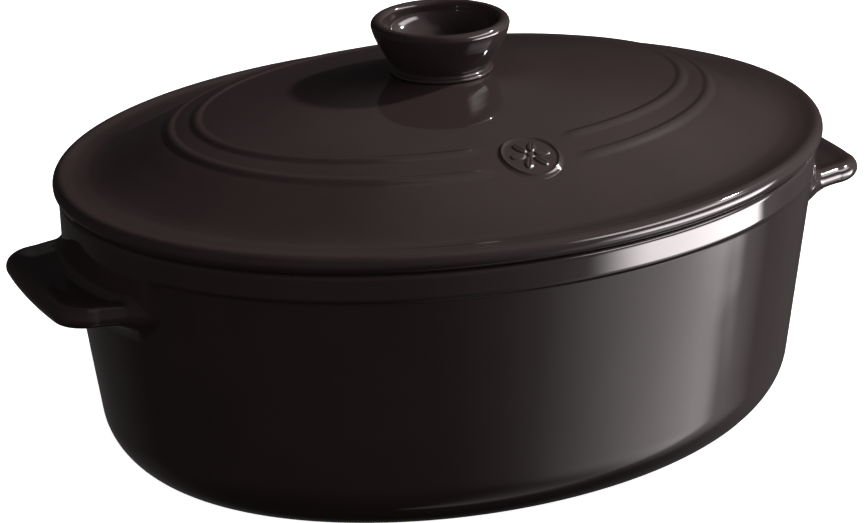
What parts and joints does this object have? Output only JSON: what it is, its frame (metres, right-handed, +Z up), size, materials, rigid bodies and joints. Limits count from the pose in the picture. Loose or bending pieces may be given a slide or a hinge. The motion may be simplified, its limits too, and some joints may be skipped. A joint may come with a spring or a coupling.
{
  "type": "covered casserole dish",
  "caption": "Oval dark-glazed stoneware casserole with a lug handle at each end and a domed lift-off lid that has a hollow cup-shaped knob, raised arcs and a small round badge.",
  "frame": {"origin": "middle of the foot, on the surface that the pot stands on", "axes": "+X along the long axis towards the right handle, -Y towards the side with the badge, +Z up"},
  "size_m": [0.38, 0.273, 0.186],
  "materials": {
    "pot_glaze": "glossy dark charcoal-brown glaze",
    "lid_glaze": "glossy dark charcoal-brown glaze",
    "badge_glaze": "glossy dark charcoal-brown glaze over low relief"
  },
  "bodies": {
    "pot": {"bowl": "pot_glaze", "handle_left": "pot_glaze", "handle_right": "pot_glaze"},
    "lid": {"lid_dome": "lid_glaze", "knob": "lid_glaze", "lid_badge": "badge_glaze"}
  },
  "joints": [
    {"name": "lid_lift", "type": "slide", "parent": "pot", "child": "lid", "axis": [0, 0, 1], "range_m": [0, 0.16]}
  ]
}
